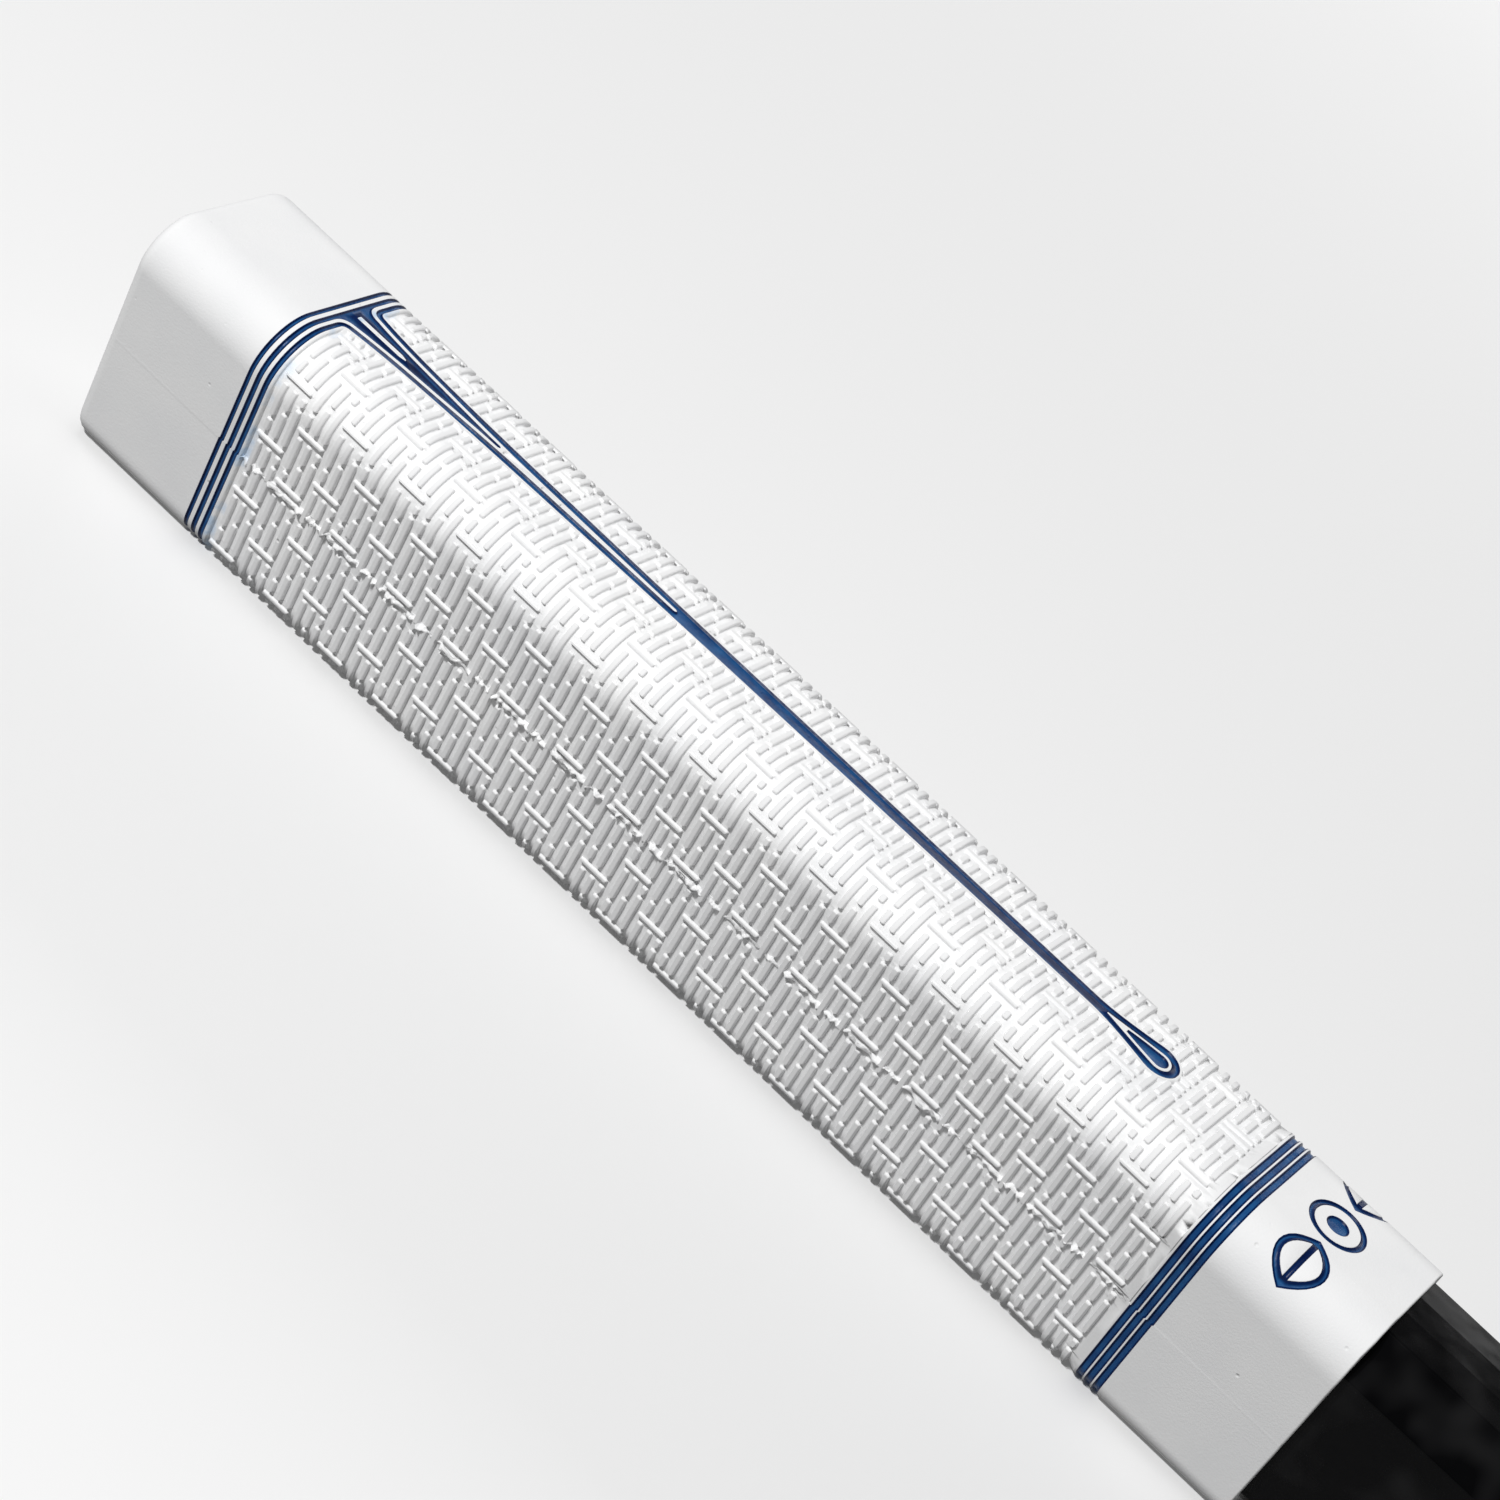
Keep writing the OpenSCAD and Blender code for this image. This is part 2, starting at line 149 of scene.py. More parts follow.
def surface(s, t):
    """Point, outward normal and direction of growing t for arrays s and t, on the -Y side."""
    f = flat_half(s)
    side_from = f + FRONT_R * FRONT_TURN
    back_from = side_from + SIDE_LEN
    flat_from = back_from + BACK_R * BACK_TURN
    turn = np.clip((t - f) / FRONT_R, 0, FRONT_TURN) + np.clip((t - back_from) / BACK_R, 0, BACK_TURN)
    side = np.clip(t - side_from, 0, SIDE_LEN)
    front = np.minimum(turn, FRONT_TURN)
    y = np.minimum(t, f) + FRONT_R * np.sin(front) - side * math.sin(LEAN)
    z = FRONT_Z - FRONT_R * (1 - np.cos(front)) - side * math.cos(LEAN)
    y += BACK_R * (np.sin(turn) - np.sin(front)) - np.maximum(t - flat_from, 0)
    z += BACK_R * (np.cos(turn) - np.cos(front))
    zero = np.zeros_like(t)
    point = np.stack([s - GRIP_LEN, -y, z], 1)
    normal = np.stack([zero, -np.sin(turn), np.cos(turn)], 1)
    along_t = np.stack([zero, -np.cos(turn), -np.sin(turn)], 1)
    return point, normal, along_t


def core_half(s):
    """Corners of the faceted core on the -Y side, from the front to the back."""
    w = half_w(s)

    def side_y(drop):
        return w - drop * math.tan(LEAN) - SIDE_SKIN / math.cos(LEAN)

    back = DEPTH - SIDE_SKIN
    corners = [CORE_RIDGE, (w - CORE_FRONT[0], CORE_FRONT[1]), (side_y(CORE_SIDE_DROP), CORE_SIDE_DROP),
               (side_y(back - BACK_FACET), back - BACK_FACET), (side_y(back) - BACK_FACET, back)]
    return [(-y, FRONT_Z - drop) for y, drop in corners]


def core_section(s, inset):
    """The core's whole section as a loop of (y, z), moved in by inset."""
    right = core_half(s)
    loop = np.array(right + [(-y, z) for y, z in reversed(right)])
    ahead, behind = np.roll(loop, -1, 0) - loop, loop - np.roll(loop, 1, 0)
    u = np.stack([-behind[:, 1], behind[:, 0]], 1) / np.linalg.norm(behind, axis=1)[:, None]
    v = np.stack([-ahead[:, 1], ahead[:, 0]], 1) / np.linalg.norm(ahead, axis=1)[:, None]
    return loop + (u + v) * inset / (1 + (u * v).sum(1))[:, None]


def wall_inside(s, t):
    """Point of the skin's inner wall straight below the outside point at t, for one s."""
    t = np.asarray(t, float)
    point, normal, _ = surface(np.full_like(t, s), t)
    origin, ray = point[:, 1:], -normal[:, 1:]
    loop = core_section(s, -GLUE_GAP)
    start, step = loop, np.roll(loop, -1, 0) - loop
    cross = ray[:, None, 0] * step[None, :, 1] - ray[:, None, 1] * step[None, :, 0]
    gap = start[None] - origin[:, None]
    with np.errstate(divide="ignore", invalid="ignore"):
        reach = (gap[..., 0] * step[None, :, 1] - gap[..., 1] * step[None, :, 0]) / cross
        share = (gap[..., 0] * ray[:, None, 1] - gap[..., 1] * ray[:, None, 0]) / cross
    hit = np.where((share >= -1e-9) & (share <= 1 + 1e-9) & (reach > 0), reach, np.inf).min(1)
    inside = origin + ray * hit[:, None]
    return np.column_stack([np.full_like(t, s - GRIP_LEN), inside])


# ---- Flat outlines ------------------------------------------------------------------------------
def bezier(a, c, b, steps=12):
    k = np.linspace(0, 1, steps + 1)[:, None]
    return np.array(a) * (1 - k) ** 2 + np.array(c) * 2 * k * (1 - k) + np.array(b) * k ** 2


def mirrored(side):
    """A closed outline from the points of its side at positive t."""
    side = np.asarray(side, float)
    return np.vstack([side, side[::-1] * [1, -1]])


def offset_loop(loop, d):
    """A closed outline moved out by d, with its sharp corners cut short."""
    ahead, behind = np.roll(loop, -1, 0) - loop, loop - np.roll(loop, 1, 0)
    u = np.stack([behind[:, 1], -behind[:, 0]], 1) / np.linalg.norm(behind, axis=1)[:, None]
    v = np.stack([ahead[:, 1], -ahead[:, 0]], 1) / np.linalg.norm(ahead, axis=1)[:, None]
    x, y = loop.T
    turn = 1 if (x * np.roll(y, -1) - y * np.roll(x, -1)).sum() > 0 else -1
    lean = np.maximum(1 + (u * v).sum(1), 0.5)
    return loop + (u + v) * (turn * d / lean)[:, None]


def circle(centre, radius, steps):
    a = np.arange(steps) * 2 * math.pi / steps
    return np.stack([centre[0] + radius * np.cos(a), centre[1] + radius * np.sin(a)], 1)


def inside_loop(p, loop):
    """Which of the points p lie in a closed outline."""
    a, b = loop, np.roll(loop, -1, 0)
    s, t = p[:, :1], p[:, 1:]
    spans = (a[:, 1] > t) != (b[:, 1] > t)
    with np.errstate(divide="ignore", invalid="ignore"):
        crossing = a[:, 0] + (t - a[:, 1]) / (b[:, 1] - a[:, 1]) * (b[:, 0] - a[:, 0])
    return (spans & (s < crossing)).sum(1) % 2 == 1


def loop_distance(p, loop):
    """Distance from each point to the nearest edge of a closed outline."""
    a = loop
    step = np.roll(loop, -1, 0) - a
    size = (step ** 2).sum(1) + 1e-12
    best = np.full(len(p), np.inf)
    block = max(1, 2_000_000 // len(loop))
    for i in range(0, len(p), block):
        gap = p[i:i + block, None] - a[None]
        along = np.clip((gap * step).sum(2) / size, 0, 1)
        best[i:i + block] = np.sqrt(((gap - along[..., None] * step) ** 2).sum(2).min(1))
    return best


def triangulate(loops, lines):
    """Constrained triangulation of closed and open chains: points and triangles."""
    points, edges = [], []
    for chain, closed in [(c, True) for c in loops] + [(c, False) for c in lines]:
        first, n = len(points), len(chain)
        points.extend(map(Vector, np.asarray(chain, float).tolist()))
        edges.extend((first + i, first + (i + 1) % n) for i in range(n if closed else n - 1))
    found = delaunay_2d_cdt(points, edges, [], 0, 1e-5, False)
    return np.array([tuple(v) for v in found[0]]), np.array([tuple(f) for f in found[2]])


def outline_of(chains, inside):
    """Closed outlines of the region in which inside(points) holds, whose edges all lie on the chains."""
    points, tris = triangulate(chains, [])
    kept = tris[inside(points[tris].mean(1))]
    edges = np.vstack([kept[:, [0, 1]], kept[:, [1, 2]], kept[:, [2, 0]]])
    there = {tuple(e) for e in edges.tolist()}
    after = {}
    for a, b in there:
        if (b, a) not in there:
            after.setdefault(a, []).append(b)
    loops = []
    while after:
        start = here = min(after)
        chain = []
        while here in after:
            chain.append(here)
            there_next = after[here].pop()
            if not after[here]:
                del after[here]
            here = there_next
            if here == start:
                break
        loops.append(points[chain])
    return loops


# ---- The line work, as in the CAD model ----------------------------------------------------------
FORK_HALF, FORK_STRAIGHT, FORK_BEND = 5.2, 28, 0.2
FORK_RIB_W, FIELD_TIP_HALF, CENTRE_RIB_HALF = 0.7, 0.3, 0.4
FORK_RIB = (26.3, 35.7)
FORK_POINT, POINT_LEN, BLUNT = 54.4, 0.3, 0.1
DOUBLE_END, LINE_END = 88.4, 165.5
NECK_S, NECK_BEND_S = 166, 169.5
DROP_S, DROP_R, DROP_TURN = 177.4, 3.25, math.radians(15)
BALL_S = DROP_S + 0.2
WHITE_DROP = (168.3, 1.85, BLUNT / 2, (171.5, 0.75))
FILLED_DROP = (171.9, 1.35, FIELD_TIP_HALF, (174, 0.85))
EMBLEM_S, EMBLEM_R, EMBLEM_LINE, EMBLEM_DOT_R = 208.7, 4.4, 0.9, 1.7
LEAF = (5.6, 15.4, 3.9)                 # t of its two points, and half its width
LEAF_RIM, LEAF_RIM_HALF, VEIN_HALF = 1.3, 1.0, 0.42
BEYOND = 70                             # past the middle of the back, so that a stripe has no end


def line_edge(s):
    """Half width of the line's outline, which narrows fast at first and then slowly."""
    return 1.1 + 1.65 * np.exp((FORK_STRAIGHT - s) / 55) + 1.3 * np.exp((FORK_STRAIGHT - s) / 9)


def line_w(s):
    """Width of each of the fork's two lines."""
    return 0.95 + 0.4 * np.clip((s - 42) / 15, 0, 1)


def field_half(s):
    """Half width of the painted field between the fork's two lines, with a bare rib on each side of it."""
    return np.maximum(FIELD_TIP_HALF, line_edge(s) - line_w(s) - FORK_RIB_W)


def stations(s0, s1, step=3):
    """Evenly spaced places from s0 to s1, at most a step apart."""
    return np.linspace(s0, s1, math.ceil((s1 - s0) / step) + 1)


def drop_side(s0, s1, r, start_half, bend):
    """A drop's side, from a blunt point at s0 to a round end of radius r about s1."""
    angles = np.radians(np.arange(90, 9, -10))
    return np.vstack([
        bezier((s0, start_half), bend, (s1 - r * math.sin(DROP_TURN), r * math.cos(DROP_TURN))),
        np.stack([s1 + r * np.cos(angles), r * np.sin(angles)], 1),
        [(s1 + r, 0.0)]])


def line_outline():
    """Outside of the whole line, from the third butt stripe to the end of the drop."""
    start, tail = float(line_edge(FORK_STRAIGHT)), float(line_edge(LINE_END))
    s = stations(FORK_STRAIGHT, LINE_END)[1:]
    third = BUTT_STRIPES[2]
    return mirrored(np.vstack([
        [(third[0], FORK_HALF)],
        bezier((third[1], FORK_HALF), (third[1], start + FORK_BEND), (FORK_STRAIGHT, start)),
        np.stack([s, line_edge(s)], 1),
        drop_side(NECK_S, DROP_S, DROP_R, tail, (NECK_BEND_S, tail))])[:-1])


def fork_space():
    """The space between the fork's two lines, up to where they join."""
    start = float(line_edge(FORK_STRAIGHT) - line_w(FORK_STRAIGHT))
    s = stations(FORK_STRAIGHT, DOUBLE_END)[1:]
    third = BUTT_STRIPES[2][0]
    return mirrored(np.vstack([
        [(third - 1, FORK_HALF + 1), (third, FORK_HALF + 1)],
        bezier((third, FORK_HALF), (third, start + FORK_BEND), (FORK_STRAIGHT, start)),
        np.stack([s, line_edge(s) - line_w(s)], 1),
        [(DOUBLE_END + POINT_LEN, BLUNT)]]))


def fork_field():
    """The painted field in that space, which grows out of the second butt stripe."""
    start = float(field_half(FORK_STRAIGHT))
    s = np.arange(FORK_STRAIGHT + 2, FORK_POINT - 1, 2.0)
    second = BUTT_STRIPES[1][1]
    return mirrored(np.vstack([
        [(second - 0.2, FORK_HALF - FIELD_TIP_HALF)],
        bezier((second, FORK_HALF - FIELD_TIP_HALF), (second, start + FORK_BEND), (FORK_STRAIGHT, start)),
        np.stack([s, field_half(s)], 1),
        [(FORK_POINT - POINT_LEN, FIELD_TIP_HALF), (FORK_POINT, BLUNT)]]))


def drop_outline(form):
    """A drop in the line's end. Its form is start, end radius, half width at the start, bend of its side."""
    s0, r, start_half, bend = form
    return mirrored(drop_side(s0, BALL_S, r, start_half, bend)[:-1])


def centre_rib():
    """The bare rib in the middle of the field."""
    first, last = FORK_RIB
    return mirrored([(first, CENTRE_RIB_HALF), (last - 1, CENTRE_RIB_HALF), (last, BLUNT)])


def stripe_outline(ends):
    """A stripe all round the grip, stepped where the two halves of the mould meet."""
    s0, s1 = ends
    back0, back1 = s0 - PART_SHIFT, s1 - PART_SHIFT
    half = PART_T - PART_SLANT, PART_T + PART_SLANT
    return np.array([(back0, -BEYOND), (back1, -BEYOND), (back1, -half[1]), (s1, -half[0]),
                     (s1, half[0]), (back1, half[1]), (back1, BEYOND), (back0, BEYOND),
                     (back0, half[1]), (s0, half[0]), (s0, -half[0]), (back0, -half[1])])


def leaf_outline(t0, t1, half):
    """A leaf of the emblem, from its points at t0 and t1 and half its width."""
    mid = (t0 + t1) / 2
    loop = np.vstack([bezier((0, t0), (2 * half, mid), (0, t1))[:-1],
                      bezier((0, t1), (-2 * half, mid), (0, t0))[:-1]])
    return loop + [EMBLEM_S, 0]


def line_work():
    """The grooves' outlines, one list for each connected body of paint."""
    stripes = [stripe_outline(e) for e in BUTT_STRIPES]
    outline, space, field = line_outline(), fork_space(), fork_field()
    white, filled, rib = drop_outline(WHITE_DROP), drop_outline(FILLED_DROP), centre_rib()

    def in_line(p):
        in_stripe = inside_loop(p, stripes[2]) & (np.abs(p[:, 1]) > FORK_HALF)
        in_outline = inside_loop(p, outline) & ~inside_loop(p, space) & ~inside_loop(p, white)
        return in_stripe | in_outline

    def in_field(p):
        return (inside_loop(p, stripes[1]) | inside_loop(p, field)) & ~inside_loop(p, rib)

    third = BUTT_STRIPES[2]
    cut = [np.array([(third[0] - 1, v), (third[1] + 1, v)]) for v in (-FORK_HALF, FORK_HALF)]
    leaf = leaf_outline(*LEAF)
    hollow = leaf_outline(LEAF[0] + LEAF_RIM, LEAF[1] - LEAF_RIM, LEAF[2] - LEAF_RIM_HALF)
    vein = np.array([(EMBLEM_S + x, t) for x, t in ((-VEIN_HALF, LEAF[0]), (VEIN_HALF, LEAF[0]),
                                                    (VEIN_HALF, LEAF[1]), (-VEIN_HALF, LEAF[1]))])

    def in_leaf(p):
        return inside_loop(p, leaf) & (~inside_loop(p, hollow) | inside_loop(p, vein))

    emblem = [circle((EMBLEM_S, 0), r, 72) for r in (EMBLEM_R, EMBLEM_R - EMBLEM_LINE, EMBLEM_DOT_R)]
    bodies = {
        "paint_butt_stripe_1": [stripes[0]],
        "paint_fork_field": outline_of([stripes[1], field, rib], in_field),
        "paint_alignment_line": outline_of([stripes[2], outline, space, white] + cut, in_line),
        "paint_alignment_drop": [filled],
        "paint_emblem_ring": emblem,
        "paint_emblem_leaf": outline_of([leaf, hollow, vein], in_leaf),
    }
    for i, ends in enumerate(TIP_STRIPES, 1):
        bodies[f"paint_tip_stripe_{i}"] = [stripe_outline(ends)]
    return bodies


def smooth_step(x):
    x = np.clip(x, 0, 1)
    return x * x * (3 - 2 * x)


def inside_distance(p, loops, reach=1.0):
    """Distance inside a region bounded by outlines, negative outside it, and -reach or less far off."""
    best = np.full(len(p), -reach)
    low = np.min([c.min(0) for c in loops], 0) - reach
    high = np.max([c.max(0) for c in loops], 0) + reach
    near = np.where(((p > low) & (p < high)).all(1))[0]
    if len(near) == 0:
        return best
    q = p[near]
    distance = np.min([loop_distance(q, c) for c in loops], 0)
    inside = np.sum([inside_loop(q, c) for c in loops], 0) % 2 == 1
    best[near] = np.where(inside, distance, np.maximum(-distance, -reach))
    return best


BODIES = line_work()
GROOVES = list(BODIES.values())


def groove_distance(p):
    return np.max([inside_distance(p, loops) for loops in GROOVES], 0)


# ---- The texture ----------------------------------------------------------------------------------
def column_bars(c):
    """Raised rectangles (s0, s1, t0, t1) of one column of the texture."""
    s0 = FIRST_S + PITCH * c
    bars = []

    def bar_top(row):
        top = FIRST_T + PITCH * row
        return top + NEAR_PART_SHIFT if abs(top - PART_T) < 1 else top

    for row in range(ROWS[0] + c % 2, ROWS[1], 2):
        top, next_top = FIRST_T + PITCH * row, bar_top(row + 2)
        bars.append((s0, s0 + BAR_LEN, bar_top(row), bar_top(row) + BAR_W))
        for j, break_at in enumerate(RIB_BREAKS):
            left = s0 + RIB_FROM + RIB_PITCH * j
            right = left + RIB_W
            bars.append((left, right, top + BAR_W + RIB_GAP, top + break_at))
            bars.append((left, right, top + break_at + BREAK_W, next_top - RIB_GAP))
    return np.array(bars)


COLUMNS = range(0, math.ceil((FIELD[1] - FIRST_S) / PITCH))


def column_of(s):
    """Column that holds a distance along the grip; the border runs down the gap before its bars."""
    return np.clip(np.floor((s - FIRST_S + (PITCH - BAR_LEN) / 2) / PITCH).astype(int), 0, COLUMNS[-1])


def bar_distance(p, bars):
    """Distance inside the nearest of some rectangles with round corners."""
    centre = (bars[:, [0, 2]] + bars[:, [1, 3]]) / 2
    half = (bars[:, [1, 3]] - bars[:, [0, 2]]) / 2
    q = np.abs(p[:, None] - centre[None]) - half[None] + CORNER_R
    outside = np.sqrt((np.maximum(q, 0) ** 2).sum(2))
    return (CORNER_R - outside - np.minimum(q.max(2), 0)).max(1)


BARS = [column_bars(c) for c in COLUMNS]
flash_s = np.arange(FIELD[0] - 1, FIELD[1] + 1, FLASH_STEP)
flash_t = PART_T + rng.uniform(-FLASH_WANDER, FLASH_WANDER, len(flash_s))
flash_top = rng.uniform(*FLASH_TOP, len(flash_s))


def flash_height(s, t):
    return np.interp(s, flash_s, flash_top) - FLASH_SLOPE * np.abs(t - np.interp(s, flash_s, flash_t))


def raised_distance(p):
    """Distance inside the raised part of the texture, without the rim along the line work."""
    s, t = p.T
    best = np.maximum(np.maximum(FIELD[0] - s, s - FIELD[1]), t - half_round(s) + SPINE)
    column = column_of(s)
    for c in np.unique(column):
        here = np.where(column == c)[0]
        best[here] = np.maximum(best[here], bar_distance(p[here], BARS[c]))
    return best


def skin_height(p):
    """Height of the skin's surface over the smooth section."""
    s, t = p.T
    groove = groove_distance(p)
    raised = np.maximum(raised_distance(p), groove + RIM)
    foot, top = RELIEF_WALL
    height = -RELIEF * (1 - smooth_step((raised - foot) / (top - foot)))
    in_field = (s > FIELD[0] - FLASH_LAP) & (s < FIELD[1] + FLASH_LAP)
    height = np.where(in_field, np.maximum(height, flash_height(s, t)), height)
    crease = CREASE * np.exp(-((t - PART_T) / CREASE_W) ** 2)
    height = np.where(in_field, height, height + crease)
    edge, floor = GROOVE_WALL
    return np.where(groove > edge, -GROOVE_DEPTH * smooth_step((groove - edge) / (floor - edge)), height)


def paint_height(loops):
    """Function that gives the height of the paint's hollow surface in a body's grooves."""
    def height(p):
        inside = inside_distance(p, loops)
        return -PAINT_EDGE - PAINT_DIP * smooth_step(np.maximum(inside, 0) / PAINT_RUN)
    return height


# ---- From the flat drawing to meshes ---------------------------------------------------------------
def place(p, height_of):
    """Points and normals of flat points p raised by a height function."""
    point, normal, along_t = surface(*p.T)
    e = PROBE
    slope_s = (height_of(p + [e, 0]) - height_of(p - [e, 0])) / (2 * e)
    slope_t = (height_of(p + [0, e]) - height_of(p - [0, e])) / (2 * e)
    point = point + normal * height_of(p)[:, None]
    normal = normal - slope_t[:, None] * along_t
    normal[:, 0] -= slope_s
    return point, normal / np.linalg.norm(normal, axis=1)[:, None]


def make_object(name, points, faces, normals=None, smooth_faces=0):
    """A mesh object from points in millimetres. The first smooth_faces faces take the given normals."""
    mesh = bpy.data.meshes.new(name)
    mesh.from_pydata((np.asarray(points) * MM).tolist(), [], [tuple(map(int, f)) for f in faces])
    mesh.validate()
    mesh.update()
    obj = bpy.data.objects.new(name, mesh)
    bpy.context.scene.collection.objects.link(obj)
    if normals is not None:
        mesh.shade_smooth()
        corner = np.zeros(len(mesh.loops), int)
        mesh.loops.foreach_get("vertex_index", corner)
        starts = np.zeros(len(mesh.polygons), int)
        mesh.polygons.foreach_get("loop_start", starts)
        sizes = np.diff(np.append(starts, len(corner)))
        face_normal = np.zeros(len(sizes) * 3)
        mesh.polygons.foreach_get("normal", face_normal)
        of_face = np.repeat(np.arange(len(sizes)), sizes)
        split = face_normal.reshape(-1, 3)[of_face]
        soft = of_face < smooth_faces
        split[soft] = np.asarray(normals)[corner[soft]]
        mesh.normals_split_custom_set(split.tolist())
    return obj


def rings_of(wall):
    """Distances at which a wall is outlined: just beyond its two edges, where it's level, and within it."""
    return wall[0] - PROBE, wall[0] * 0.6 + wall[1] * 0.4, wall[1] + PROBE


# Runs of t (from, to, step) over the front, its corner, the side, the back corner and the back.
TURN_RUNS = [(0, 6.1, 2.0), (6.6, 22, 1.0), (22, 48.4, 2.9), (48.6, 56.6, 0.8), (57.5, 63, 2.0)]
PART_LINES = PART_T + np.array([-0.5, -0.2, 0, 0.2, 0.5])
TURN_LINES = np.unique(np.round(np.concatenate([np.arange(*run) for run in TURN_RUNS] + [PART_LINES]), 3))


def bar_ring(bar, d):
    """Outline of a raised rectangle at distance d inside its edge."""
    s0, s1, t0, t1 = bar
    r = CORNER_R - d
    corners = [((s1 - CORNER_R, t1 - CORNER_R), 0), ((s0 + CORNER_R, t1 - CORNER_R), 90),
               ((s0 + CORNER_R, t0 + CORNER_R), 180), ((s1 - CORNER_R, t0 + CORNER_R), 270)]
    return np.array([(c[0] + r * math.cos(math.radians(a + k)), c[1] + r * math.sin(math.radians(a + k)))
                     for c, a in corners for k in (0, 45, 90)])


def overlaps(chain, s0, s1):
    return chain[:, 0].max() > s0 - 1 and chain[:, 0].min() < s1 + 1


def in_use(bar):
    """Whether some of a raised rectangle lies on the -Y side, and all of it before the texture's end."""
    return bar[3] > 0 and bar[2] < half_round(bar[0]) and bar[1] < FIELD[1]


def skin_chains(s0, s1):
    """Closed and open chains along which the skin bends, between s0 and s1."""
    loops, lines = [], []
    for loop in (c for body in GROOVES for c in body if overlaps(c, s0, s1)):
        loops += [offset_loop(loop, -d) for d in rings_of(GROOVE_WALL)]
    for t in TURN_LINES:
        lines.append(np.array([(s0, t), (s1, t)]))
    if s1 > FIELD[0] and s0 < FIELD[1]:
        for d in rings_of(RELIEF_WALL):
            for bars in BARS:
                loops += [bar_ring(b, d) for b in bars if s0 - 1 < b[0] < s1 + 1 and in_use(b)]
            for at in (FIELD[0] - d, FIELD[1] + d):
                if s0 < at < s1:
                    lines.append(np.array([(at, 0), (at, BEYOND)]))
            ends = np.array([s0, s1])
            lines.append(np.stack([ends, half_round(ends) - SPINE + d], 1))
            rim = offset_loop(line_outline(), RIM - d)
            loops.append(rim[rim[:, 0] > FORK_STRAIGHT])
        near = (flash_s > s0 - 1) & (flash_s < s1 + 1)
        for shift in FLASH_SHIFTS:
            lines.append(np.stack([flash_s[near], flash_t[near] + shift], 1))
    return loops, lines


def half_patch(s0, s1):
    """Flat points and triangles of the skin from s0 to s1, on one side."""
    domain = np.array([(s0, 0), (s1, 0), (s1, half_round(s1)), (s0, half_round(s0))])
    loops, lines = skin_chains(s0, s1)
    points, tris = triangulate([domain] + loops, lines)
    s, t = points[tris].mean(1).T
    kept = tris[(s > s0) & (s < s1) & (t > 0) & (t < half_round(s))]
    used, kept = np.unique(kept, return_inverse=True)
    return points[used], kept.reshape(-1, 3)


def both_sides(p, tris, point, normal):
    """Adds the mirror image at +Y, joined along the middle of the front and of the back."""
    n = len(p)
    on_seam = (p[:, 1] < 1e-4) | (p[:, 1] > half_round(p[:, 0]) - 1e-4)
    twin = np.arange(n)
    apart = np.where(~on_seam)[0]
    twin[apart] = n + np.arange(len(apart))
    flip = np.array([1, -1, 1])
    seam_y = np.where(on_seam, 0, 1)
    normal = normal * np.stack([np.ones(n), seam_y, np.ones(n)], 1)
    points = np.vstack([point, point[apart] * flip])
    normals = np.vstack([normal, normal[apart] * flip])
    return points, np.vstack([tris, twin[tris][:, ::-1]]), normals, twin


def facing_out(tris, points, normals):
    """The triangles, all turned over if they face against their corners' normals on the whole."""
    a, b, c = points[tris[:, 0]], points[tris[:, 1]], points[tris[:, 2]]
    outward = (np.cross(b - a, c - a) * normals[tris].sum(1)).sum()
    return tris if outward > 0 else tris[:, ::-1]


def end_loop(p, twin, s):
    """Indices round the grip of the points on the end at s, from the front down the -Y side, and their t."""
    row = np.where(np.abs(p[:, 0] - s) < 1e-4)[0]
    row = row[np.argsort(p[row, 1])]
    back = [twin[i] for i in row[::-1] if twin[i] != i]
    return list(row) + back, p[row, 1]


def whole_loop(one):
    """Points or normals of an end's -Y side, followed by their mirror images in the order of end_loop."""
    return np.vstack([one, (one * [1, -1, 1])[-2:0:-1]])


def loop_inside(s, t):
    """The inner wall's points at s that lie below the outside points at t, in the order of end_loop."""
    return whole_loop(wall_inside(s, t))


def band(outer, inner):
    """Quads between two loops of indices with the same number of points."""
    n = len(outer)
    return [(outer[i], outer[(i + 1) % n], inner[(i + 1) % n], inner[i]) for i in range(n)]


def stitch(first, first_at, second, second_at):
    """Triangles between two loops of indices whose points lie at different places round them."""
    i = j = 0
    n, m = len(first), len(second)
    tris = []
    a_at, b_at = np.append(first_at, 1), np.append(second_at, 1)
    while i < n or j < m:
        if j == m or (i < n and a_at[i + 1] <= b_at[j + 1]):
            tris.append((first[i % n], first[(i + 1) % n], second[j % m]))
            i += 1
        else:
            tris.append((first[i % n], second[(j + 1) % m], second[j % m]))
            j += 1
    return tris


def round_share(s, t):
    """Places round the whole section, from 0 to 1, of an end loop's points."""
    one = np.asarray(t) / (2 * half_round(s))
    return np.concatenate([one, 1 - one[-2:0:-1]])


BUTT_ANGLES, TIP_ANGLES = (20, 40, 60, 75, 90), (30, 60, 90)   # of the rings on the round end edges
TIP_WAVE, TIP_CHIP = 0.05, 0.03         # unevenness of the tip's rim


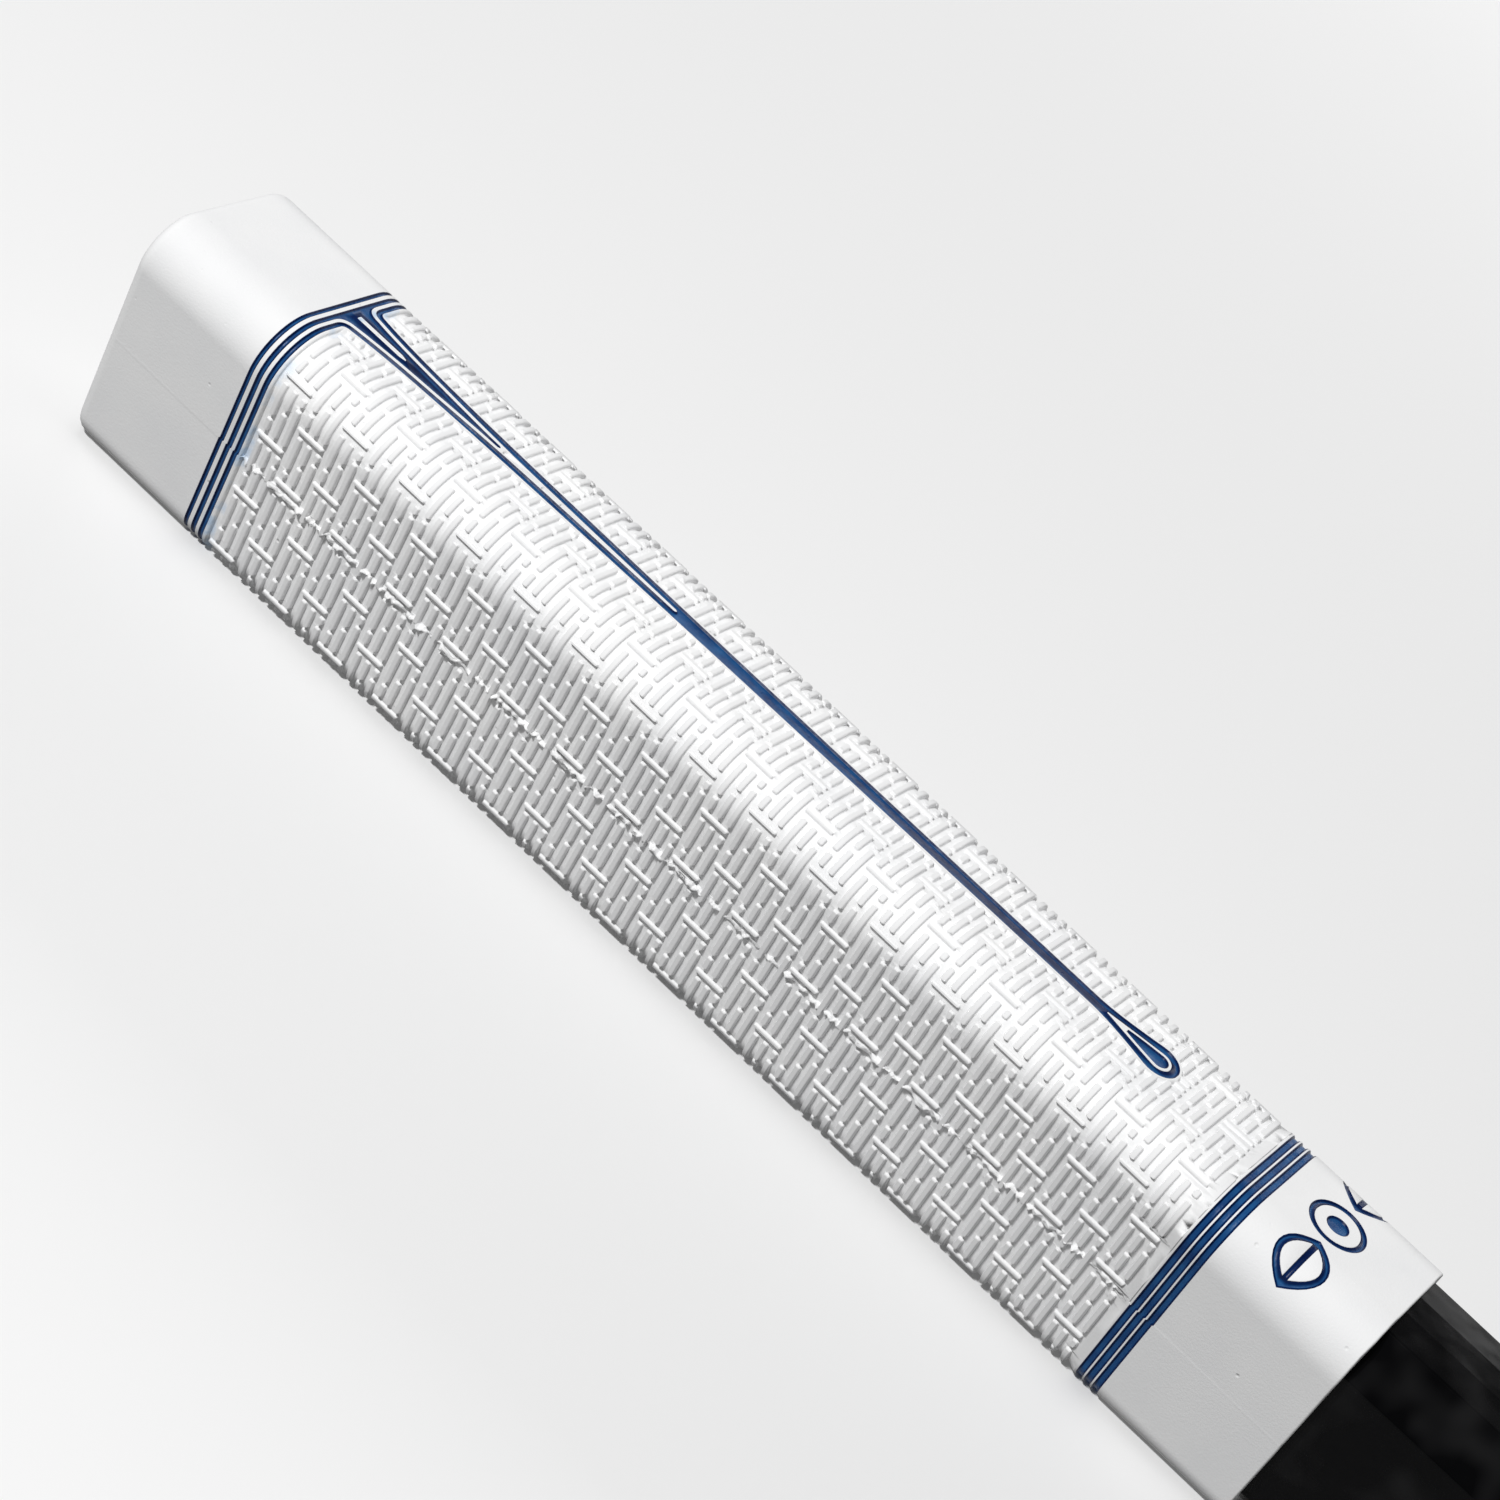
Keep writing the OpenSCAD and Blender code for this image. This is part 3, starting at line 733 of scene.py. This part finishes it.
def skin_piece(name, s0, s1, butt=False, tip=False):
    """A closed tube of skin from s0 to s1, with the butt's end wall or the tip's edge where it has them."""
    p, tris = half_patch(s0, s1)
    point, normal = place(p, skin_height)
    points, faces, normals, twin = both_sides(p, tris, point, normal)
    faces = facing_out(faces, points, normals)
    points, normals, faces = list(points), list(normals), [tuple(f) for f in faces]

    def add_loop(xyz, outward=None):
        first = len(points)
        points.extend(xyz)
        normals.extend(xyz * 0 if outward is None else outward)
        return list(range(first, first + len(xyz)))

    low, low_t = end_loop(p, twin, s0)
    high, high_t = end_loop(p, twin, s1)
    inner_s0 = BUTT_WALL if butt else s0
    if butt:
        for a in np.radians(BUTT_ANGLES):
            drop, place_s = BUTT_EDGE_R * (1 - math.cos(a)), BUTT_EDGE_R * (1 - math.sin(a))
            xyz, out, _ = surface(np.full_like(low_t, BUTT_EDGE_R), low_t)
            xyz = xyz - out * drop
            xyz[:, 0] = place_s - GRIP_LEN
            out = out * math.cos(a) + np.array([-math.sin(a), 0, 0])
            ring = add_loop(whole_loop(xyz), whole_loop(out))
            faces += band(ring, low)
            low = ring
        smooth_faces = len(faces)
        round_at = np.arctan2(*(np.array([points[i][1:] for i in low]).T))
        circle_yz = VENT_R * np.stack([np.sin(round_at), np.cos(round_at)], 1)
        vent = [add_loop(np.column_stack([np.full(len(low), s - GRIP_LEN), circle_yz]))
                for s in (0, BUTT_WALL)]
        inner_low = add_loop(loop_inside(inner_s0, low_t))
        faces += band(vent[0], low) + band(vent[1], vent[0]) + band(inner_low, vent[1])
    if tip:
        wave = TIP_WAVE * np.sin(np.arange(len(high)) * 0.9) + rng.uniform(-TIP_CHIP, TIP_CHIP, len(high))
        for a in np.radians(TIP_ANGLES):
            xyz, out, _ = surface(np.full_like(high_t, s1), high_t)
            xyz = xyz - out * TIP_EDGE_R * (1 - math.cos(a))
            out = out * math.cos(a) + np.array([math.sin(a), 0, 0])
            xyz = whole_loop(xyz)
            xyz[:, 0] += TIP_EDGE_R * math.sin(a) + wave * math.sin(a)
            ring = add_loop(xyz, whole_loop(out))
            faces += band(high, ring)
            high = ring
    if not butt:
        smooth_faces = len(faces)
        inner_low = add_loop(loop_inside(s0, low_t))
        faces += band(inner_low, low)
    inner_s1 = s1 + TIP_EDGE_R if tip else s1
    inner_high = add_loop(loop_inside(inner_s1, high_t))
    faces += band(high, inner_high)
    faces += stitch(inner_high, round_share(s1, high_t), inner_low, round_share(s0, low_t))
    obj = make_object(name, points, faces, normals, smooth_faces)
    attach(obj, "root")
    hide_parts("outer_skin")
    return obj


cuts = [FIRST_S - (PITCH - BAR_LEN) / 2 + PITCH * c for c in (0, len(COLUMNS) // 2)] + [FIELD[1] + 0.25]
skin = [
    skin_piece("skin_butt", BUTT_EDGE_R, cuts[0], butt=True),
    skin_piece("skin_grip_rear", cuts[0], cuts[1]),
    skin_piece("skin_grip_front", cuts[1], cuts[2]),
    skin_piece("skin_tip", cuts[2], SKIN_LEN - TIP_EDGE_R, tip=True)]


# ---- Paint ------------------------------------------------------------------------------------------
def paint_piece(name, loops, nodes, sides=(-1, 1)):
    """A closed body of paint that fills its grooves, with a hollow top. sides are the Y signs it is on."""
    edge = [offset_loop(c, PAINT_LAP) for c in loops]
    depths = PAINT_RUN * np.arange(1, PAINT_RINGS + 1) / PAINT_RINGS
    rings = [offset_loop(c, -d) for c in loops for d in depths]
    low = np.min([c.min(0) for c in edge], 0)
    high = np.max([c.max(0) for c in edge], 0)
    ends = np.array([low[0] - 1, high[0] + 1])
    lines = [np.stack([ends, [t, t]], 1) for t in TURN_LINES if t < high[1]]
    seams = [np.stack([ends, [0, 0]], 1), np.stack([ends, half_round(ends)], 1)]
    p, tris = triangulate(edge + rings, lines + seams)
    mid = p[tris].mean(1)
    kept = np.sum([inside_loop(mid, c) for c in edge], 0) % 2 == 1
    kept &= (mid[:, 1] > 0) & (mid[:, 1] < half_round(mid[:, 0]))
    used, tris = np.unique(tris[kept], return_inverse=True)
    p, tris = p[used], tris.reshape(-1, 3)
    point, normal = place(p, paint_height(loops))
    if len(sides) == 2:
        points, faces, normals, _ = both_sides(p, tris, point, normal)
        top_p = np.vstack([p, p[(p[:, 1] >= 1e-4) & (p[:, 1] <= half_round(p[:, 0]) - 1e-4)]])
    else:
        flip = np.array([1, -sides[0], 1])
        points, faces, normals, top_p = point * flip, tris, normal * flip, p
    faces = facing_out(faces, points, normals)
    n = len(points)
    base, out, _ = surface(*top_p.T)
    mirror_y = np.sign(points[:, 1]) * np.sign(base[:, 1])
    flip = np.stack([np.ones(n), np.where(mirror_y < 0, -1, 1), np.ones(n)], 1)
    under = (base - out * PAINT_UNDER) * flip
    edges = np.vstack([faces[:, [0, 1]], faces[:, [1, 2]], faces[:, [2, 0]]])
    there = {tuple(e) for e in edges.tolist()}
    rim = [(a, b) for a, b in there if (b, a) not in there]
    walls = [(b, a, a + n, b + n) for a, b in sorted(rim)]
    every = [tuple(f) for f in faces] + [tuple(f[::-1] + n) for f in faces] + walls
    obj = make_object(name, np.vstack([points, under]), every, np.vstack([normals, normals]), len(faces))
    # from_edge, the distance in from the groove's edge, drives the paint material's painted shade near the
    # groove walls.
    depth = np.tile(np.clip(inside_distance(top_p, loops), 0, 1), 2)
    obj.data.attributes.new("from_edge", "FLOAT", "POINT").data.foreach_set("value", depth)
    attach(obj, "root")
    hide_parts(*nodes)
    return obj


paint = [
    paint_piece("paint_butt_stripe_1", BODIES["paint_butt_stripe_1"], ["butt_stripe_1"]),
    paint_piece("paint_fork_field", BODIES["paint_fork_field"], ["butt_stripe_2"]),
    paint_piece("paint_alignment_line", BODIES["paint_alignment_line"], ["butt_stripe_3", "alignment_line"]),
    paint_piece("paint_alignment_drop", BODIES["paint_alignment_drop"], ["alignment_drop"]),
    paint_piece("paint_emblem_ring", BODIES["paint_emblem_ring"], ["emblem_ring"]),
    paint_piece("paint_emblem_leaf_left", BODIES["paint_emblem_leaf"], ["emblem_leaf_left"], sides=(1,)),
    paint_piece("paint_emblem_leaf_right", BODIES["paint_emblem_leaf"], ["emblem_leaf_right"], sides=(-1,))]
for i in (1, 2, 3):
    paint.append(paint_piece(f"paint_tip_stripe_{i}", BODIES[f"paint_tip_stripe_{i}"], [f"tip_stripe_{i}"]))


# ---- Core --------------------------------------------------------------------------------------------
def softened(loop, r, steps=4):
    """A section's loop with each corner rounded, and the outward normals of its points."""
    points, normals = [], []
    n = len(loop)
    for i in range(n):
        a, q, b = loop[i - 1], loop[i], loop[(i + 1) % n]
        u, v = (a - q) / np.linalg.norm(a - q), (b - q) / np.linalg.norm(b - q)
        half = math.acos(np.clip(u @ v, -1, 1)) / 2
        centre = q + (u + v) / np.linalg.norm(u + v) * r / math.sin(half)
        first, last = q + u * r / math.tan(half) - centre, q + v * r / math.tan(half) - centre
        for k in np.linspace(0, 1, steps + 1):
            d = first * (1 - k) + last * k
            d = d / np.linalg.norm(d)
            points.append(centre + r * d)
            normals.append(d)
    return np.array(points), np.array(normals)


def core_ring(s, inset, r):
    """Points and normals round the core at s, moved in by inset, with corners of radius r."""
    loop, out = softened(core_section(s, inset), r)
    x = np.full(len(loop), s - GRIP_LEN)
    return np.column_stack([x, loop]), np.column_stack([x * 0, out])


def core_tube(outer, inner):
    """A closed tube of the core's section, from outer rings (s, inset, lean) and inner rings (s, inset)."""
    points, normals, faces = [], [], []
    rings = []
    for s, inset, lean in outer:
        xyz, out = core_ring(s, inset, CORE_ROUND)
        out = out * math.cos(lean) + np.array([math.sin(lean), 0, 0])
        rings.append(list(range(len(points), len(points) + len(xyz))))
        points.extend(xyz)
        normals.extend(out)
    for a, b in zip(rings, rings[1:]):
        faces += band(a, b)
    smooth_faces = len(faces)
    for s, inset in inner:
        xyz, out = core_ring(s, inset, CORE_INNER_ROUND)
        rings.append(list(range(len(points), len(points) + len(xyz))))
        points.extend(xyz)
        normals.extend(out * 0)
    for a, b in zip(rings[len(outer) - 1:], rings[len(outer):]):
        faces += band(a, b)
    faces += band(rings[-1], rings[0])
    return points, normals, faces, smooth_faces


CORE_END = node_range("core_shell", 0)[1] + GRIP_LEN
points, normals, faces, smooth_faces = core_tube(
    [(BUTT_WALL, 0, 0), (SKIN_LEN, 0, 0), (CORE_END - CORE_CHAMFER, 0, 0),
     (CORE_END, CORE_CHAMFER, CHAMFER_LEAN)],
    [(CORE_END, CORE_WALL), (BUTT_WALL, CORE_WALL)])
core = make_object("core", points, faces, normals, smooth_faces)
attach(core, "root")
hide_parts("core_shell")


# ---- Materials ----------------------------------------------------------------------------------------
STAIN_REACH, STAIN_STRENGTH, STAIN_COLOR = 2.2, 0.6, (0.25, 0.5, 0.8, 1)


def new_material(name, color, roughness, specular=0.5):
    """A principled material, its node tree and its shader node."""
    material = bpy.data.materials.new(name)
    material.use_nodes = True
    tree = material.node_tree
    shader = tree.nodes["Principled BSDF"]
    shader.inputs["Base Color"].default_value = (*color, 1)
    shader.inputs["Roughness"].default_value = roughness
    shader.inputs["Specular IOR Level"].default_value = specular
    return material, tree, shader


def noise(tree, scale, detail=4, roughness=0.5):
    """Noise over the object's own coordinates, scale per metre."""
    coords = tree.nodes.new("ShaderNodeTexCoord")
    node = tree.nodes.new("ShaderNodeTexNoise")
    node.inputs["Scale"].default_value = scale
    node.inputs["Detail"].default_value = detail
    node.inputs["Roughness"].default_value = roughness
    tree.links.new(coords.outputs["Object"], node.inputs["Vector"])
    return node.outputs["Fac"]


def ramp(tree, fac, low, high, at=(0.3, 0.7)):
    """A colour that goes from low to high as the factor goes from one place to the other."""
    node = tree.nodes.new("ShaderNodeValToRGB")
    for element, color, position in zip(node.color_ramp.elements, (low, high), at):
        element.color = (*color, 1) if len(color) == 3 else color
        element.position = position
    tree.links.new(fac, node.inputs["Fac"])
    return node.outputs["Color"]


def to_range(tree, fac, low, high, between=(0.0, 1.0)):
    """A number that goes from low to high as the factor goes between two values."""
    node = tree.nodes.new("ShaderNodeMapRange")
    node.inputs["From Min"].default_value, node.inputs["From Max"].default_value = between
    node.inputs["To Min"].default_value = low
    node.inputs["To Max"].default_value = high
    tree.links.new(fac, node.inputs["Value"])
    return node.outputs["Result"]


def bump(tree, shader, heights, distance, strength=1.0, under=None):
    """A bump by heights, laid over the bump under it if there's one."""
    node = tree.nodes.new("ShaderNodeBump")
    node.inputs["Strength"].default_value = strength
    node.inputs["Distance"].default_value = distance
    tree.links.new(heights, node.inputs["Height"])
    if under:
        tree.links.new(under, node.inputs["Normal"])
    tree.links.new(node.outputs["Normal"], shader.inputs["Normal"])
    return node.outputs["Normal"]


def pits(tree, scale, size):
    """Scattered round pits, scale per metre and size as a share of the space between them."""
    coords = tree.nodes.new("ShaderNodeTexCoord")
    cells = tree.nodes.new("ShaderNodeTexVoronoi")
    cells.inputs["Scale"].default_value = scale
    tree.links.new(coords.outputs["Object"], cells.inputs["Vector"])
    edge = tree.nodes.new("ShaderNodeMapRange")
    edge.interpolation_type = "SMOOTHSTEP"
    edge.inputs["From Max"].default_value = size
    tree.links.new(cells.outputs["Distance"], edge.inputs["Value"])
    return edge.outputs["Result"]


def maths(tree, operation, first, second=0.0):
    """A Math node's result. The first input is linked, and so is the second unless it's a number."""
    node = tree.nodes.new("ShaderNodeMath")
    node.operation = operation
    tree.links.new(first, node.inputs[0])
    if isinstance(second, float):
        node.inputs[1].default_value = second
    else:
        tree.links.new(second, node.inputs[1])
    return node.outputs["Value"]


def mixed(tree, blend, factor, first, second):
    """A mix of two colours, of which the second may be a plain colour."""
    node = tree.nodes.new("ShaderNodeMix")
    node.data_type, node.blend_type = "RGBA", blend
    for socket, value in ((node.inputs[0], factor), (node.inputs[6], first), (node.inputs[7], second)):
        if isinstance(value, bpy.types.NodeSocket):
            tree.links.new(value, socket)
        else:
            socket.default_value = value
    return node.outputs[2]


def stained(tree, tint):
    """The skin's tint with faint blue patches, where paint has crept over the third butt stripe's edge."""
    coords = tree.nodes.new("ShaderNodeTexCoord")
    split = tree.nodes.new("ShaderNodeSeparateXYZ")
    tree.links.new(coords.outputs["Object"], split.inputs["Vector"])
    edge_x = (BUTT_STRIPES[2][1] - GRIP_LEN) * MM
    away = maths(tree, "ABSOLUTE", maths(tree, "SUBTRACT", split.outputs["X"], edge_x))
    near = to_range(tree, away, 1.0, 0.0, (0.0, STAIN_REACH * MM))
    patches = to_range(tree, noise(tree, 260, 3), 0.0, STAIN_STRENGTH, (0.5, 0.66))
    return mixed(tree, "MIX", maths(tree, "MULTIPLY", near, patches), tint, STAIN_COLOR)


def skin_material():
    """White moulded elastomer: satin, with a faint mottle, a fine grain and a few pits."""
    material, tree, shader = new_material("skin_white", (0.86, 0.86, 0.865), 0.62, specular=0.13)
    tint = ramp(tree, noise(tree, 90, 5), (0.835, 0.838, 0.845), (0.875, 0.875, 0.875))
    tree.links.new(stained(tree, tint), shader.inputs["Base Color"])
    tree.links.new(to_range(tree, noise(tree, 420, 3), 0.54, 0.7), shader.inputs["Roughness"])
    grain = bump(tree, shader, noise(tree, 2600, 4, 0.6), 0.00006, 0.6)
    bump(tree, shader, pits(tree, 190, 0.075), 0.00012, 1.0, under=grain)
    return material


def paint_material():
    """Blue paint poured in the grooves: glossy and streaky, with painted shade that darkens it near the
    groove walls, standing for their shadow.
    """
    material, tree, shader = new_material("paint_blue", (0.02, 0.09, 0.27), 0.3, specular=0.1)
    edge = tree.nodes.new("ShaderNodeAttribute")
    edge.attribute_name = "from_edge"
    # Painted shade: the colour darkens near the groove's edges, in place of the shadow cast by the groove
    # walls.
    edge_shade = ramp(tree, edge.outputs["Fac"], (0.05, 0.07, 0.15), (1, 1, 1), (0.15, 0.5))
    tint = ramp(tree, noise(tree, 260, 5, 0.6), (0.01, 0.085, 0.3), (0.042, 0.25, 0.6), (0.3, 0.72))
    tree.links.new(mixed(tree, "MULTIPLY", 1.0, tint, edge_shade), shader.inputs["Base Color"])
    tree.links.new(to_range(tree, noise(tree, 900, 4), 0.2, 0.42), shader.inputs["Roughness"])
    bump(tree, shader, noise(tree, 1300, 3), 0.00008, 0.7)
    return material


def core_material():
    """Black moulded shell: glossy, slightly wavy, with dull smudges."""
    material, tree, shader = new_material("core_black", (0.004, 0.004, 0.005), 0.16, specular=0.05)
    tree.links.new(to_range(tree, noise(tree, 150, 5), 0.1, 0.26), shader.inputs["Roughness"])
    tint = ramp(tree, noise(tree, 75, 2), (0.0015, 0.0015, 0.0018), (0.018, 0.018, 0.0185), (0.48, 0.75))
    tree.links.new(tint, shader.inputs["Base Color"])
    bump(tree, shader, noise(tree, 70, 3), 0.0006, 0.5)
    return material


def inner_material(name, dark, light, grain, roughness):
    """A plain moulded or foamed inner part with a grain of its own."""
    material, tree, shader = new_material(name, light, roughness)
    tree.links.new(ramp(tree, noise(tree, grain, 6, 0.65), dark, light), shader.inputs["Base Color"])
    bump(tree, shader, noise(tree, grain * 1.7, 5), 0.0002, 0.8)
    return material


def dress(obj, material):
    obj.data.materials.clear()
    obj.data.materials.append(material)


white, blue, black = skin_material(), paint_material(), core_material()
foam = inner_material("foam_grey", (0.07, 0.07, 0.072), (0.13, 0.13, 0.135), 900, 0.9)
tube = inner_material("sleeve_black", (0.02, 0.02, 0.021), (0.035, 0.035, 0.037), 500, 0.45)
for o in skin:
    dress(o, white)
for o in paint:
    dress(o, blue)
dress(core, black)
dress(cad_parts["tip_collar"], black)
dress(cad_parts["foam_filler"], foam)
dress(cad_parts["shaft_sleeve"], tube)
dress(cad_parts["butt_plate"], tube)

# ---- Floor, light and camera ----------------------------------------------------------------------------
FLOOR_HALF, WORLD_LIGHT = 4.0, 0.2
floor_z = (FRONT_Z - DEPTH) * MM
corners = [(x * FLOOR_HALF, y * FLOOR_HALF, floor_z) for x, y in ((-1, -1), (1, -1), (1, 1), (-1, 1))]
floor_mesh = bpy.data.meshes.new("floor")
floor_mesh.from_pydata(corners, [], [(0, 1, 2, 3)])
floor = bpy.data.objects.new("floor", floor_mesh)
bpy.context.scene.collection.objects.link(floor)
floor_paper, tree, shader = new_material("floor_paper", (0.88, 0.88, 0.88), 0.9)
paper = ramp(tree, noise(tree, 3, 2), (0.875, 0.875, 0.875), (0.885, 0.885, 0.885))
tree.links.new(paper, shader.inputs["Base Color"])
dress(floor, floor_paper)
floor.visible_diffuse = False            # its bounce would fill the texture's shadows


def add_lamp(name, kind, at, target, power, **settings):
    """A lamp at a place, turned to a target."""
    light = bpy.data.lights.new(name, kind)
    light.energy = power
    for key, value in settings.items():
        setattr(light, key, value)
    lamp = bpy.data.objects.new(name, light)
    lamp.location = at
    lamp.rotation_euler = (Vector(at) - Vector(target)).to_track_quat("Z", "Y").to_euler()
    bpy.context.scene.collection.objects.link(lamp)


add_lamp("overhead", "SUN", (-0.32, -0.05, 1.0), (0, 0, 0), 0.12, angle=math.radians(10))
add_lamp("key", "AREA", (-0.47, -0.67, 0.82), (-0.2, 0, 0), 7.2, shape="DISK", size=0.09)
add_lamp("key_fill", "SUN", (-0.29, -0.76, 0.93), (0, 0, 0), 0.9, angle=math.radians(5))
add_lamp("backdrop", "AREA", (-0.1, 0.95, 0.36), (-0.1, 0, 0), 4.0, shape="RECTANGLE", size=1.6, size_y=0.28)

scene = bpy.context.scene
world = bpy.data.worlds.new("studio")
world.use_nodes = True
world.node_tree.nodes["Background"].inputs["Color"].default_value = (1, 1, 1, 1)
world.node_tree.nodes["Background"].inputs["Strength"].default_value = WORLD_LIGHT
scene.world = world
scene.view_settings.view_transform = "Standard"

# The camera looks down on the -Y side, rolled so that the tip runs to the lower right.
TO_RIGHT = Vector((0.71052, 0.51376, 0.48084))
TO_BACK = Vector((0.23325, -0.81665, 0.52790))
EYE = Vector((-GRIP_LEN + SKIN_LEN + 11.64, -440.33, FRONT_Z + 276.41)) * MM
camera_data = bpy.data.cameras.new("camera")
camera_data.lens = 95.78
camera_data.sensor_width = 36
camera_data.clip_start = 0.01
camera = bpy.data.objects.new("camera", camera_data)
scene.collection.objects.link(camera)
back = TO_BACK.normalized()
right = (TO_RIGHT - back * TO_RIGHT.dot(back)).normalized()
up = back.cross(right)
camera.matrix_world = Matrix.Translation(EYE) @ Matrix((right, up, back)).transposed().to_4x4()
scene.camera = camera
